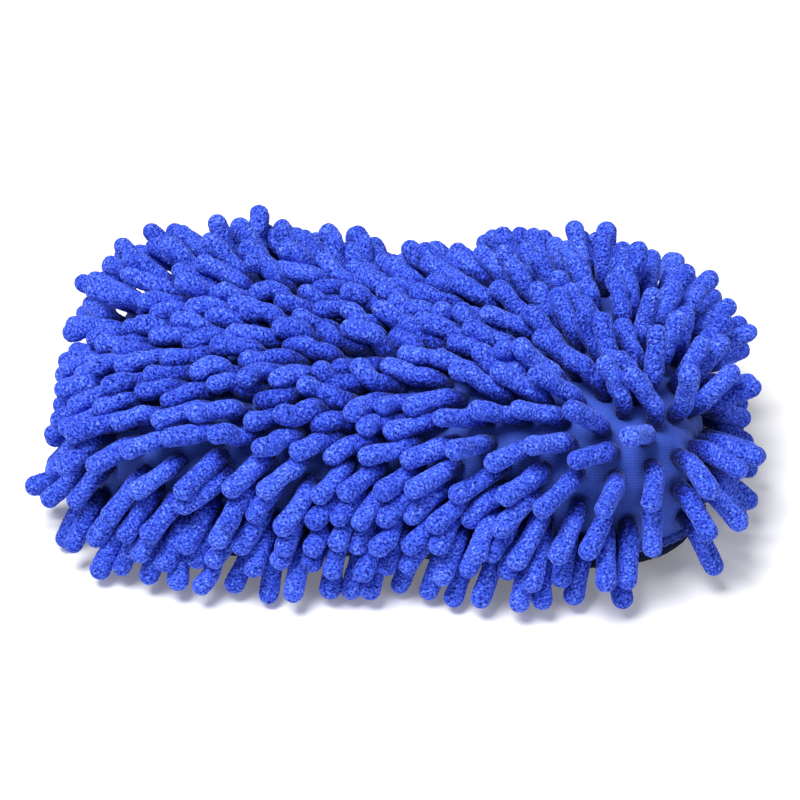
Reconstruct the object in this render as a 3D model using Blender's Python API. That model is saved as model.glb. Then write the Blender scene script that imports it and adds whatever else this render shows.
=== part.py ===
"""Chenille wash mitt, in metres, +Z up.

A foam core sits in a sewn bag: a knitted cover with rows of chenille fingers over its top and
sides, and a spacer-mesh back. A perimeter seam joins the two. An elastic hand strap crosses the
back, and its legs are tacked to the back just below the seam.
+X is the mitt's length and +Y its width. The origin is the middle of the strap's flat underside,
on which the mitt rests.
"""

import math

import bmesh
import bpy
import numpy as np

# The pad is a loaf: a superellipse in plan, rounded over to a crown above the seam and to a
# flat back below it. Its waist is where the strap draws it in.
PAD_LENGTH = 0.216
PAD_WIDTH = 0.121
CROWN_HEIGHT = 0.0465
BACK_DEPTH = 0.0155
BACK_BULGE = 0.0020
PLAN_POWER = 5.0
CROWN_POWER = 3.6
BACK_POWER = 4.0
WAIST_NARROWING = 0.0040
WAIST_DIP = 0.0050
WAIST_SPREAD = 0.032

# Layers.
COVER_THICKNESS = 0.0014
MESH_THICKNESS = 0.0022
GAP = 0.0003

# Seam: folded fabric edges between the cover and the mesh, and the thread outside them.
SEAM_HEIGHT = 0.0024
SEAM_STAND_OUT = 0.0010
THREAD_RADIUS = 0.0004

# Elastic hand strap.
STRAP_WIDTH = 0.045
STRAP_THICKNESS = 0.0018
TACK_INSET = 0.0020
TACK_HEIGHT = 0.0032
TACK_THICKNESS = 0.0008

# Chenille rows: a sewn base strip with a finger at every pitch. Each half of the cover has its
# rows at even steps from the ridge down to the seam.
ROWS_PER_HALF = 12
FINGER_PITCH = 0.0160
FINGER_LENGTH = 0.0225
FINGER_RADIUS = 0.0031
ROOT_RADIUS = 0.0024
STRIP_THICKNESS = 0.0010
ROW_GAP = 0.0006
ROW_SEAM_CLEARANCE = 0.0020
FINGER_SIDES = 6
# Rows on a surface that is steeper than this run level along a side, not over the ends. They
# stop where they come nearer to the outermost row over the crown than this share of the pitch.
SIDE_ANGLE = math.radians(55)
CORNER_SHARE = 0.78
SHOULDER_SHARE = 0.84
TIP_SHARE = 0.55
# The fingers' lean, as slopes: towards +X at either end of the pad, and down on the sides.
LEAN_LEFT = -0.6
LEAN_RIGHT = 0.3
HANG = 0.9

# Mesh density.
PLAN_STEPS = 40
CROWN_STEPS = 8
BACK_STEPS = 5
STRAP_STEPS = 5
TACK_STEPS = 3
FINE_STEPS = 720
CAST_STEPS = 48

CROWN_CAP_SHARE = 0.04
SLOPE_STEP = 1e-5

SEAM_Z = STRAP_THICKNESS + GAP + BACK_DEPTH

BLUE = (0.016, 0.040, 0.520)
FABRIC_BLUE = (0.030, 0.085, 0.500)
NAVY = (0.004, 0.010, 0.045)
BLACK = (0.012, 0.012, 0.014)
FOAM_GREY = (0.420, 0.430, 0.450)


# ---------------------------------------------------------------- pad surface


def waist(x):
    """1 at the middle of the length, falling smoothly to 0 towards the ends."""
    return np.exp(-((np.asarray(x) / WAIST_SPREAD) ** 2))


def width_scale(x):
    return 1 - 2 * WAIST_NARROWING / PAD_WIDTH * waist(x)


def crown_scale(x):
    return 1 - WAIST_DIP / CROWN_HEIGHT * waist(x)


def warp(points):
    """Draws the plain loaf in at its waist. Heights are counted from the seam."""
    out = np.array(points, float)
    out[..., 1] *= width_scale(out[..., 0])
    above = out[..., 2] > 0
    out[..., 2] = np.where(above, out[..., 2] * crown_scale(out[..., 0]), out[..., 2])
    out[..., 2] += SEAM_Z
    return out


def unwarp(points):
    out = np.array(points, float)
    out[..., 2] -= SEAM_Z
    above = out[..., 2] > 0
    out[..., 2] = np.where(above, out[..., 2] / crown_scale(out[..., 0]), out[..., 2])
    out[..., 1] /= width_scale(out[..., 0])
    return out


def outside_loaf(points):
    """Below 0 inside the plain loaf, 0 on it and above 0 outside. Heights are from the seam."""
    above = points[..., 2] > 0
    x, y, z = np.moveaxis(np.abs(points), -1, 0)
    power = np.where(above, CROWN_POWER, BACK_POWER)
    height = np.where(above, CROWN_HEIGHT, BACK_DEPTH + BACK_BULGE)
    plan = (2 * x / PAD_LENGTH) ** PLAN_POWER + (2 * y / PAD_WIDTH) ** PLAN_POWER
    return plan ** (power / PLAN_POWER) + (z / height) ** power - 1


def outside(points):
    """Below 0 inside the pad's outer surface, 0 on it and above 0 outside."""
    return outside_loaf(unwarp(points))


def normals_at(points):
    """Outward unit normals of the pad's surface, by central differences."""
    points = np.asarray(points, float)
    steps = np.eye(3) * SLOPE_STEP
    slope = [outside(points + step) - outside(points - step) for step in steps]
    slope = np.stack(slope, axis=-1)
    return slope / np.linalg.norm(slope, axis=-1, keepdims=True)


def cast(origins, directions):
    """Where rays from inside the plain loaf meet its surface, by bisection."""
    near = np.zeros(len(directions))
    far = np.full(len(directions), PAD_LENGTH)
    for _ in range(CAST_STEPS):
        middle = (near + far) / 2
        inside = outside_loaf(origins + directions * middle[:, None]) < 0
        near = np.where(inside, middle, near)
        far = np.where(inside, far, middle)
    return origins + directions * near[:, None]


def evenly(points, count, closed=False):
    """count points at equal steps of arc length along a polyline."""
    if closed:
        points = np.vstack([points, points[:1]])
    lengths = np.linalg.norm(np.diff(points, axis=0), axis=1)
    along = np.concatenate([[0], np.cumsum(lengths)])
    wanted = np.linspace(0, along[-1], count, endpoint=not closed)
    return np.stack([np.interp(wanted, along, axis) for axis in points.T], axis=1)


def plan_outline(inset):
    """The pad's outline at the seam, before the waist, inset all round."""
    angle = np.linspace(0, 2 * math.pi, FINE_STEPS, endpoint=False)
    share = 2 / PLAN_POWER
    x = np.sign(np.cos(angle)) * np.abs(np.cos(angle)) ** share
    y = np.sign(np.sin(angle)) * np.abs(np.sin(angle)) ** share
    half = np.array([PAD_LENGTH / 2 - inset, PAD_WIDTH / 2 - inset])
    return evenly(np.stack([x, y], axis=1) * half, PLAN_STEPS, closed=True)


def crown_profile(inset, start):
    """(share of the outline, height) from start above the seam to the cap on the crown."""
    height = CROWN_HEIGHT - inset
    first = math.asin((start / height) ** (CROWN_POWER / 2))
    last = math.acos(CROWN_CAP_SHARE ** (CROWN_POWER / 2))
    angle = np.linspace(first, last, CROWN_STEPS + 1)
    share = np.cos(angle) ** (2 / CROWN_POWER)
    return np.stack([share, height * np.sin(angle) ** (2 / CROWN_POWER)], axis=1)


def back_share(depth):
    """The share of the outline that the back's curve has at a depth below the seam."""
    return (1 - (depth / (BACK_DEPTH + BACK_BULGE)) ** BACK_POWER) ** (1 / BACK_POWER)


def back_profile(inset, start):
    """(share of the outline, height) from start below the seam to the edge of the flat."""
    depths = np.linspace(start, BACK_DEPTH - inset, BACK_STEPS + 1)
    shares = back_share(depths * BACK_DEPTH / (BACK_DEPTH - inset))
    return np.stack([shares, -depths], axis=1)


def rings(outline, profile):
    """The outline at each step of a profile, drawn in at the waist."""
    plan = outline[None] * profile[:, 0, None, None]
    height = np.broadcast_to(profile[:, 1, None, None], plan.shape[:2] + (1,))
    return warp(np.concatenate([plan, height], axis=2))


# ---------------------------------------------------------------- mesh helpers


def clear_scene():
    for obj in list(bpy.data.objects):
        bpy.data.objects.remove(obj)


def material(name, colour, roughness):
    made = bpy.data.materials.new(name)
    made.use_nodes = True
    shader = made.node_tree.nodes["Principled BSDF"]
    shader.inputs["Base Color"].default_value = (*colour, 1)
    shader.inputs["Roughness"].default_value = roughness
    shader.inputs["Metallic"].default_value = 0
    return made


def add_object(name, bm, colour, roughness, smooth=True):
    bmesh.ops.recalc_face_normals(bm, faces=bm.faces)
    mesh = bpy.data.meshes.new(name)
    bm.to_mesh(mesh)
    bm.free()
    if smooth:
        mesh.shade_smooth()
    mesh.materials.append(material(name, colour, roughness))
    obj = bpy.data.objects.new(name, mesh)
    bpy.context.scene.collection.objects.link(obj)
    return obj


def add_rings(bm, points):
    return [[bm.verts.new(co) for co in ring] for ring in points]


def join_rings(bm, lower, upper):
    """A band of quads between two closed rings."""
    count = len(lower)
    for i in range(count):
        j = (i + 1) % count
        bm.faces.new((lower[i], lower[j], upper[j], upper[i]))


def skin(bm, made):
    for lower, upper in zip(made, made[1:]):
        join_rings(bm, lower, upper)


def slab(inner, outer):
    """A closed sheet between two grids of points, as a new bmesh."""
    bm = bmesh.new()
    low, high = add_rings(bm, inner), add_rings(bm, outer)
    rows, columns = len(low), len(low[0])
    for grid in (low, high):
        for i in range(rows - 1):
            for j in range(columns - 1):
                bm.faces.new((grid[i][j], grid[i + 1][j], grid[i + 1][j + 1], grid[i][j + 1]))
    edge = [(i, 0) for i in range(rows)] + [(rows - 1, j) for j in range(1, columns)]
    edge += [(i, columns - 1) for i in range(rows - 2, -1, -1)]
    edge += [(0, j) for j in range(columns - 2, 0, -1)]
    join_rings(bm, [low[i][j] for i, j in edge], [high[i][j] for i, j in edge])
    return bm


# ---------------------------------------------------------------- the pad


def make_foam_core():
    """The foam fills the bag up to a gap."""
    inset = MESH_THICKNESS + GAP
    outline = plan_outline(inset)
    back = back_profile(inset, SEAM_HEIGHT / 2)
    crown = crown_profile(COVER_THICKNESS + GAP, SEAM_HEIGHT / 2)
    bm = bmesh.new()
    made = add_rings(bm, rings(outline, np.vstack([back[::-1], crown])))
    skin(bm, made)
    bm.faces.new(made[0])
    bm.faces.new(made[-1])
    return add_object("foam_core", bm, FOAM_GREY, 0.95)


def shell(name, outer, inner, colour):
    """A bag half: two skins joined at the hem, each closed at its far end."""
    bm = bmesh.new()
    made_outer, made_inner = add_rings(bm, outer), add_rings(bm, inner)
    for made in (made_outer, made_inner):
        skin(bm, made)
        bm.faces.new(made[-1])
    join_rings(bm, made_outer[0], made_inner[0])
    return add_object(name, bm, colour, 0.9)


def make_cover():
    hem = SEAM_HEIGHT / 2 + GAP
    outer = rings(plan_outline(0), crown_profile(0, hem))
    inner = rings(plan_outline(COVER_THICKNESS), crown_profile(COVER_THICKNESS, hem))
    return shell("chenille_cover", outer, inner, FABRIC_BLUE)


def make_mesh_back():
    hem = SEAM_HEIGHT / 2 + GAP
    outer = rings(plan_outline(0), back_profile(0, hem))
    inner = rings(plan_outline(MESH_THICKNESS), back_profile(MESH_THICKNESS, hem))
    return shell("mesh_back", outer, inner, NAVY)


def ring_tube(name, section, colour):
    """A closed band round the seam, from its section as (inset, height) corners."""
    bm = bmesh.new()
    made = []
    for inset, height in section:
        made += add_rings(bm, rings(plan_outline(inset), np.array([[1.0, height]])))
    skin(bm, made + made[:1])
    return add_object(name, bm, colour, 0.85)


def make_seam():
    half = SEAM_HEIGHT / 2
    corners = [
        (COVER_THICKNESS, -half),
        (-SEAM_STAND_OUT, -half),
        (-SEAM_STAND_OUT, half),
        (COVER_THICKNESS, half),
    ]
    ring_tube("perimeter_seam", corners, FABRIC_BLUE)
    middle = -SEAM_STAND_OUT - GAP - THREAD_RADIUS
    corners = [
        (middle + THREAD_RADIUS, 0),
        (middle, THREAD_RADIUS),
        (middle - THREAD_RADIUS, 0),
        (middle, -THREAD_RADIUS),
    ]
    ring_tube("seam_thread", corners, BLUE)


# ---------------------------------------------------------------- hand strap


def back_point(x, depth):
    """The rear side of the mesh back's outer surface, at x and a depth below the seam."""
    reach = back_share(depth) ** PLAN_POWER - abs(2 * x / PAD_LENGTH) ** PLAN_POWER
    return warp([x, PAD_WIDTH / 2 * reach ** (1 / PLAN_POWER), -depth])


def flat_reach():
    """How far from the centre line the back stays flat under the whole strap."""
    across = [0, STRAP_WIDTH / 2]
    return min(back_point(x, BACK_DEPTH)[1] for x in across) - GAP


def strap_columns(half):
    """The x of each column of points across the strap."""
    return np.linspace(-half, half, STRAP_STEPS)


def leg_grid(depths, half):
    """Points and normals on the back's rear side, a row for each depth and as wide as half."""
    columns = strap_columns(half)
    points = np.array([[back_point(x, depth) for x in columns] for depth in depths])
    normals = normals_at(points)
    return points, normals


def make_strap_middle():
    half = STRAP_WIDTH / 2
    reach = flat_reach() - GAP
    rows = np.linspace(-reach, reach, STRAP_STEPS)
    low = [[(x, y, 0) for x in strap_columns(half)] for y in rows]
    high = [[(x, y, STRAP_THICKNESS) for x in strap_columns(half)] for y in rows]
    return add_object("hand_strap", slab(low, high), BLACK, 0.8, smooth=False)


def make_strap_leg(name, side):
    """One end of the strap, from the edge of the flat up the back's side."""
    top = SEAM_HEIGHT / 2 + 2 * GAP
    points, normals = leg_grid(np.linspace(BACK_DEPTH, top, BACK_STEPS + 2), STRAP_WIDTH / 2)
    down = np.array([0, 0, -1.0])
    crease = normals[0] + down
    normals[0] = crease / np.linalg.norm(crease, axis=1, keepdims=True)
    start = points[0] * [1, 0, 1] + [0, flat_reach(), 0]
    points = np.concatenate([start[None], points])
    normals = np.concatenate([np.broadcast_to(down, start.shape)[None], normals])
    points[..., 1] *= side
    normals[..., 1] *= side
    inner = points + GAP * normals
    outer = points + (GAP + STRAP_THICKNESS) * normals
    return add_object(name, slab(inner, outer), BLACK, 0.8)


def make_strap_tack(name, side):
    """The line of dense stitches over a leg's top end."""
    top = SEAM_HEIGHT / 2 + 3 * GAP
    depths = np.linspace(top + TACK_HEIGHT, top, TACK_STEPS)
    points, normals = leg_grid(depths, STRAP_WIDTH / 2 - TACK_INSET)
    points[..., 1] *= side
    normals[..., 1] *= side
    under = 2 * GAP + STRAP_THICKNESS
    inner = points + under * normals
    outer = points + (under + TACK_THICKNESS) * normals
    return add_object(name, slab(inner, outer), BLACK, 0.7)


# ---------------------------------------------------------------- chenille rows


def smooth_step(value):
    value = np.clip(value, 0, 1)
    return value * value * (3 - 2 * value)


def finger_direction(point, normal):
    """Fingers lean to -X, except near the +X end, and those on the sides hang."""
    end = smooth_step(2 * point[0] / PAD_LENGTH)
    along = (1 - end) * LEAN_LEFT + end * LEAN_RIGHT
    direction = normal + np.array([along, 0, -HANG * (1 - abs(normal[2]))])
    return direction / np.linalg.norm(direction)


def row_places():
    """The rows' pitch, and each one's (y, height, steepness) on the loaf's rear half section."""
    angle = np.linspace(math.pi / 2, 0, FINE_STEPS)
    directions = np.stack([0 * angle, np.cos(angle), np.sin(angle)], axis=1)
    section = cast(np.zeros(3), directions)
    steps = np.diff(section, axis=0)
    lengths = np.linalg.norm(steps, axis=1)
    along = np.concatenate([[0], np.cumsum(lengths)])
    steepness = -steps[:, 2] / lengths
    pitch = (along[-1] - SEAM_HEIGHT / 2 - ROW_SEAM_CLEARANCE) / ROWS_PER_HALF
    wanted = (np.arange(ROWS_PER_HALF) + 0.5) * pitch
    y, z = (np.interp(wanted, along, section[:, axis]) for axis in (1, 2))
    return pitch, list(zip(y, z, np.interp(wanted, along[1:], steepness)))


def above_seam(path):
    """The stretch of a path that clears the seam."""
    return path[path[:, 2] > SEAM_Z + SEAM_HEIGHT / 2 + ROW_SEAM_CLEARANCE]


def top_path(y):
    """A row over the crown: from the seam at one end to the seam at the other, at this y."""
    angle = np.linspace(math.pi, 0, FINE_STEPS)
    directions = np.stack([np.cos(angle), 0 * angle, np.sin(angle)], axis=1)
    return above_seam(warp(cast(np.array([0, y, 0]), directions)))


def side_path(z, outermost, pitch):
    """A row along the rear side at this height, round both corners to the outermost top row."""
    angle = np.linspace(math.pi, 0, FINE_STEPS)
    directions = np.stack([np.cos(angle), np.sin(angle), 0 * angle], axis=1)
    path = warp(cast(np.array([0, 0, z]), directions))
    apart = np.linalg.norm(path[:, None] - outermost[None], axis=2).min(axis=1)
    return path[(apart > CORNER_SHARE * pitch) & (path[:, 1] > outermost[0, 1])]


def hexagon(centre, along, across, radius):
    """Six points about a centre. The second is on the across axis and the fifth opposite it."""
    turn = (np.arange(FINGER_SIDES) + 0.5) * 2 * math.pi / FINGER_SIDES
    return [centre + radius * (math.cos(a) * along + math.sin(a) * across) for a in turn]


def row_frames(path):
    """Half-pitch steps along a path, as (place, normal, tangent, across)."""
    length = np.linalg.norm(np.diff(path, axis=0), axis=1).sum()
    places = evenly(path, 2 * round(length / FINGER_PITCH) + 1)
    normals = normals_at(places)
    tangents = np.gradient(places, axis=0)
    tangents -= normals * (tangents * normals).sum(axis=1, keepdims=True)
    tangents /= np.linalg.norm(tangents, axis=1, keepdims=True)
    return list(zip(places, normals, tangents, np.cross(normals, tangents)))


def make_row(name, path, first):
    """A base strip along the path, with a finger on every other step from the first given."""
    bm = bmesh.new()
    roots = []
    before = None
    frames = row_frames(path)
    grown = range(first, len(frames) - 1, 2)
    for step, (place, normal, tangent, across) in enumerate(frames):
        top = place + (ROW_GAP + STRIP_THICKNESS) * normal
        ring = []
        if step in grown:
            ring = [bm.verts.new(co) for co in hexagon(top, tangent, across, ROOT_RADIUS)]
            roots.append((bm.faces.new(ring), top, normal, tangent, across))
        line = strip_line(bm, place, normal, across, ring)
        if before:
            join_lines(bm, before, line)
        else:
            bm.faces.new((line[0], line[1], line[3], line[2]))
        before = line
    bm.faces.new((before[0], before[1], before[3], before[2]))
    for root in roots:
        grow_finger(bm, *root)
    return add_object(name, bm, BLUE, 0.95)


def strip_line(bm, place, normal, across, ring):
    """The strip's corners at a step: top left and right, bottom left and right, then its root."""
    high = place + (ROW_GAP + STRIP_THICKNESS) * normal
    low = place + ROW_GAP * normal
    offsets = (ROOT_RADIUS * across, -ROOT_RADIUS * across)
    top = [ring[1], ring[4]] if ring else [bm.verts.new(high + side) for side in offsets]
    return top + [bm.verts.new(low + side) for side in offsets] + [ring]


def join_lines(bm, left, right):
    """The strip's faces between two steps. Its top goes round the root that it meets."""
    bm.faces.new((left[2], left[3], right[3], right[2]))
    bm.faces.new((left[0], left[2], right[2], right[0]))
    bm.faces.new((left[1], left[3], right[3], right[1]))
    if right[4]:
        bm.faces.new((left[0], *right[4][1:5], left[1]))
    elif left[4]:
        bm.faces.new((left[0], right[0], right[1], left[1], left[4][5], left[4][0]))
    else:
        bm.faces.new((left[0], right[0], right[1], left[1]))


def grow_finger(bm, face, base, normal, tangent, across):
    """Extrudes a root face to a shoulder and then to a narrower tip."""
    direction = finger_direction(base, normal)
    along = tangent - direction * tangent.dot(direction)
    along /= np.linalg.norm(along)
    sideways = np.cross(direction, along)
    for share, radius in ((SHOULDER_SHARE, FINGER_RADIUS), (1, FINGER_RADIUS * TIP_SHARE)):
        ring = hexagon(base + share * FINGER_LENGTH * direction, along, sideways, radius)
        face = bmesh.ops.extrude_discrete_faces(bm, faces=[face])["faces"][0]
        for vert, co in zip(face.verts, ring):
            vert.co = co


def make_rows():
    """Top rows mirrored about the ridge, then side rows below the outermost top row.

    The fingers of neighbouring rows are staggered by half a pitch.
    """
    tops, sides = [], []
    pitch, places = row_places()
    for y, z, steepness in places:
        if steepness > math.sin(SIDE_ANGLE):
            sides.append(z)
        else:
            tops.append(y)
    paths = [top_path(y) for y in tops]
    paths += [side_path(z, paths[-1], pitch) for z in sides]
    front = [path * [1, -1, 1] for path in paths]
    for index, path in enumerate(front[::-1] + paths):
        make_row(f"chenille_row_{index + 1:02d}", path, 1 + index % 2)


def main():
    clear_scene()
    make_foam_core()
    make_cover()
    make_mesh_back()
    make_seam()
    make_strap_middle()
    for name, side in (("front", -1), ("rear", 1)):
        make_strap_leg(f"strap_leg_{name}", side)
        make_strap_tack(f"strap_tack_{name}", side)
    make_rows()


main()
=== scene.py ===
"""The looks of the chenille wash mitt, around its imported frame. Metres, +Z up, +X along the mitt.

The bag is blown up by a cloth simulation and drawn in by its seam and strap. A few hundred soft
fingers grow from it in rows. They are laid by the pile's brushed lay and pushed apart by a small
particle simulation, and each is then skinned as a tube of tufts.
"""

import math

import bpy
import numpy as np
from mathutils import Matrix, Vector
from mathutils.bvhtree import BVHTree


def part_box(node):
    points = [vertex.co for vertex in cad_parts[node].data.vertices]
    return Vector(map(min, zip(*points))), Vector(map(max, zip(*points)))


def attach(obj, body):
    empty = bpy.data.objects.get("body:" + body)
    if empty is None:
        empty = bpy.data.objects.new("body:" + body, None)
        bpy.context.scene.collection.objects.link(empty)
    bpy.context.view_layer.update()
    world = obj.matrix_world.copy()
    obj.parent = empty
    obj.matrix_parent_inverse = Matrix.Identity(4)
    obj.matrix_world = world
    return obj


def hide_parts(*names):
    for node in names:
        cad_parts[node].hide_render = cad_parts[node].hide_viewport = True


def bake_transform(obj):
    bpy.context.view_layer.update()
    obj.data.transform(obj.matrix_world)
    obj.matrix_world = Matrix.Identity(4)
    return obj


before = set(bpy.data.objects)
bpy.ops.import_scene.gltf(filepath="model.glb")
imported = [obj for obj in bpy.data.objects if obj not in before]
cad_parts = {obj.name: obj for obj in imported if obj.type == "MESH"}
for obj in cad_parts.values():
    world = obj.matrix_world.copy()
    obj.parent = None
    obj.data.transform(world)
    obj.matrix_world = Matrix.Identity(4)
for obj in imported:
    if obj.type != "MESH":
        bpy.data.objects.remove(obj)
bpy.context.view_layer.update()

ROWS = sorted(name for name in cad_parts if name.startswith("chenille_row_"))
COVER_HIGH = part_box("chenille_cover")[1]
BACK_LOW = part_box("mesh_back")[0]
SEAM_LOW, SEAM_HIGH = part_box("perimeter_seam")
STRAP_LOW, STRAP_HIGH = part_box("hand_strap")
LEG_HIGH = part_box("strap_leg_rear")[1]

# The bag: a loaf that is a superellipse in plan, rounded over above and below its seam. The plain
# loaf is a little wider and taller than the cover's box, because the waist reaches all of it.
HALF_LENGTH = COVER_HIGH[0]
HALF_WIDTH = COVER_HIGH[1] + 0.0007
SEAM_Z = (SEAM_LOW[2] + SEAM_HIGH[2]) / 2
CROWN_HEIGHT = COVER_HIGH[2] - SEAM_Z + 0.0005
BACK_DEPTH = SEAM_Z - BACK_LOW[2]
BACK_BULGE = 0.0020
PLAN_POWER = 5.0
CROWN_POWER = 3.6
BACK_POWER = 4.0
WAIST_NARROWING = 0.0040
WAIST_DIP = 0.0050
WAIST_SPREAD = 0.032
FLOOR_CLEARANCE = 0.0003

# The pile.
FINGER_LENGTH = 0.0238
FINGER_RADIUS = 0.0034
FINGER_PITCH = 0.0134
PARTICLES = 7
SEED = 11


def unit(vectors):
    return vectors / np.linalg.norm(vectors, axis=-1, keepdims=True)


def smooth_step(value):
    value = np.clip(value, 0, 1)
    return value * value * (3 - 2 * value)


def turns(count):
    """Angles at equal steps round a full turn."""
    return np.linspace(0, 2 * math.pi, count, endpoint=False)


def circles(across, upward, sides):
    """Circles in the planes of two directions, with this many points each."""
    angle = turns(sides)[:, None]
    return across[..., None, :] * np.cos(angle) + upward[..., None, :] * np.sin(angle)


def tube_quads(rings, sides, closed=False):
    """Quads of a tube. Where it is closed, its last ring meets its first."""
    i = np.arange(rings if closed else rings - 1)[:, None]
    j = np.arange(sides)[None]
    k, m = (i + 1) % rings, (j + 1) % sides
    corners = [i * sides + j, i * sides + m, k * sides + m, k * sides + j]
    return np.stack(corners, 2).reshape(-1, 4)


def capped_tubes(count, rings, sides):
    """Quads and end faces of equal tubes, one after another."""
    each = rings * sides
    starts = np.arange(count)[:, None, None] * each
    ends = []
    for start in starts.ravel():
        ends.append(np.arange(sides)[::-1] + start)
        ends.append(np.arange(sides) + start + each - sides)
    return (tube_quads(rings, sides) + starts).reshape(-1, 4), ends


def linked(name, data):
    """A new object in the scene."""
    obj = bpy.data.objects.new(name, data)
    bpy.context.scene.collection.objects.link(obj)
    return obj


# ---- stage, lights and camera


FLOOR_REACH = 6.0
FLOOR_WHITE = 0.93
FLOOR_GLOW = 0.16
WORLD_STRENGTH = 0.18
# Each light's place, size and power.
LIGHTS = {"key": ((-0.42, -0.34, 1.50), 0.9, 33.0), "fill": ((0.9, -0.9, 1.1), 1.2, 5.0)}
LIGHT_AIM = Vector((0, 0, 0.03))


def add_floor():
    """A white floor that runs out to the horizon."""
    mesh = bpy.data.meshes.new("floor")
    sides = ((-1, -1), (1, -1), (1, 1), (-1, 1))
    mesh.from_pydata([(x * FLOOR_REACH, y * FLOOR_REACH, 0) for x, y in sides], [], [(0, 1, 2, 3)])
    floor = linked("floor", mesh)
    made = bpy.data.materials.new("floor_white")
    made.use_nodes = True
    shader = made.node_tree.nodes["Principled BSDF"]
    shader.inputs["Base Color"].default_value = (FLOOR_WHITE, FLOOR_WHITE, FLOOR_WHITE, 1)
    shader.inputs["Roughness"].default_value = 0.6
    shader.inputs["Specular IOR Level"].default_value = 0.2
    shader.inputs["Emission Color"].default_value = (1, 1, 1, 1)
    shader.inputs["Emission Strength"].default_value = FLOOR_GLOW
    mesh.materials.append(made)


def add_world():
    """Soft light from all round, and full white behind the floor's edge."""
    world = bpy.data.worlds.new("studio")
    world.use_nodes = True
    tree = world.node_tree
    surround = tree.nodes["Background"]
    surround.inputs["Color"].default_value = (1, 1, 1, 1)
    surround.inputs["Strength"].default_value = WORLD_STRENGTH
    seen = tree.nodes.new("ShaderNodeBackground")
    seen.inputs["Strength"].default_value = 1.0
    path = tree.nodes.new("ShaderNodeLightPath")
    mix = tree.nodes.new("ShaderNodeMixShader")
    tree.links.new(path.outputs["Is Camera Ray"], mix.inputs["Fac"])
    tree.links.new(surround.outputs[0], mix.inputs[1])
    tree.links.new(seen.outputs[0], mix.inputs[2])
    tree.links.new(mix.outputs[0], tree.nodes["World Output"].inputs["Surface"])
    bpy.context.scene.world = world


def add_stage():
    add_floor()
    add_world()
    for name, (place, size, power) in LIGHTS.items():
        data = bpy.data.lights.new(name, "AREA")
        data.shape = "DISK"
        data.size = size
        data.energy = power
        light = linked(name, data)
        light.location = place
        light.rotation_euler = (LIGHT_AIM - light.location).to_track_quat("-Z", "Y").to_euler()
    bpy.context.scene.view_settings.view_transform = "Standard"


CAMERA_AZIMUTH = math.radians(3.5)
CAMERA_ELEVATION = math.radians(37.5)
CAMERA_DISTANCE = 0.95
VIEW_WIDTH = 0.285
SENSOR_WIDTH = 36
AIM = Vector((0.0, 0.0, 0.034))


def add_camera():
    data = bpy.data.cameras.new("camera")
    data.sensor_width = SENSOR_WIDTH
    data.lens = SENSOR_WIDTH * CAMERA_DISTANCE / VIEW_WIDTH
    camera = linked("camera", data)
    away = Vector((math.sin(CAMERA_AZIMUTH) * math.cos(CAMERA_ELEVATION),
                   -math.cos(CAMERA_AZIMUTH) * math.cos(CAMERA_ELEVATION),
                   math.sin(CAMERA_ELEVATION)))
    camera.location = AIM + away * CAMERA_DISTANCE
    camera.rotation_euler = (-away).to_track_quat("-Z", "Y").to_euler()
    bpy.context.scene.camera = camera


# ---- the bag's shape


BAG_AROUND = 140
BAG_CROWN = 22
BAG_BACK = 15
OUTLINE_STEPS = 720
PROFILE_STEPS = 200


def warp(points):
    """Draws the plain loaf in at its waist. Heights are counted from the seam."""
    out = np.array(points, float)
    waist = np.exp(-((out[..., 0] / WAIST_SPREAD) ** 2))
    out[..., 1] *= 1 - WAIST_NARROWING / HALF_WIDTH * waist
    dip = 1 - WAIST_DIP / CROWN_HEIGHT * waist
    out[..., 2] = np.where(out[..., 2] > 0, out[..., 2] * dip, out[..., 2]) + SEAM_Z
    return out


def evenly(points, count, closed=False):
    """count points at equal steps of arc length along a polyline."""
    if closed:
        points = np.vstack([points, points[:1]])
    lengths = np.linalg.norm(np.diff(points, axis=0), axis=1)
    along = np.concatenate([[0], np.cumsum(lengths)])
    wanted = np.linspace(0, along[-1], count, endpoint=not closed)
    return np.stack([np.interp(wanted, along, axis) for axis in points.T], axis=1)


def plan_outline(steps):
    """The bag's outline at the seam, before the waist."""
    angle = turns(OUTLINE_STEPS)
    share = 2 / PLAN_POWER
    x = HALF_LENGTH * np.sign(np.cos(angle)) * np.abs(np.cos(angle)) ** share
    y = HALF_WIDTH * np.sign(np.sin(angle)) * np.abs(np.sin(angle)) ** share
    return evenly(np.stack([x, y], axis=1), steps, closed=True)


def bag_profile(crown_steps, back_steps):
    """(share of the outline, height over the seam) from the back's middle up to the crown's."""
    angle = np.linspace(0, math.pi / 2, PROFILE_STEPS)
    crown = np.stack([np.cos(angle) ** (2 / CROWN_POWER) * HALF_WIDTH,
                      CROWN_HEIGHT * np.sin(angle) ** (2 / CROWN_POWER)], axis=1)
    back = np.stack([np.cos(angle) ** (2 / BACK_POWER) * HALF_WIDTH,
                     -(BACK_DEPTH + BACK_BULGE) * np.sin(angle) ** (2 / BACK_POWER)], axis=1)
    back[:, 1] = np.maximum(back[:, 1], -BACK_DEPTH)
    crown = evenly(crown, crown_steps + 1)[:-1]
    back = evenly(back, back_steps + 1)[1:-1]
    profile = np.vstack([back[::-1], crown])
    profile[:, 0] /= HALF_WIDTH
    return profile


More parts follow.
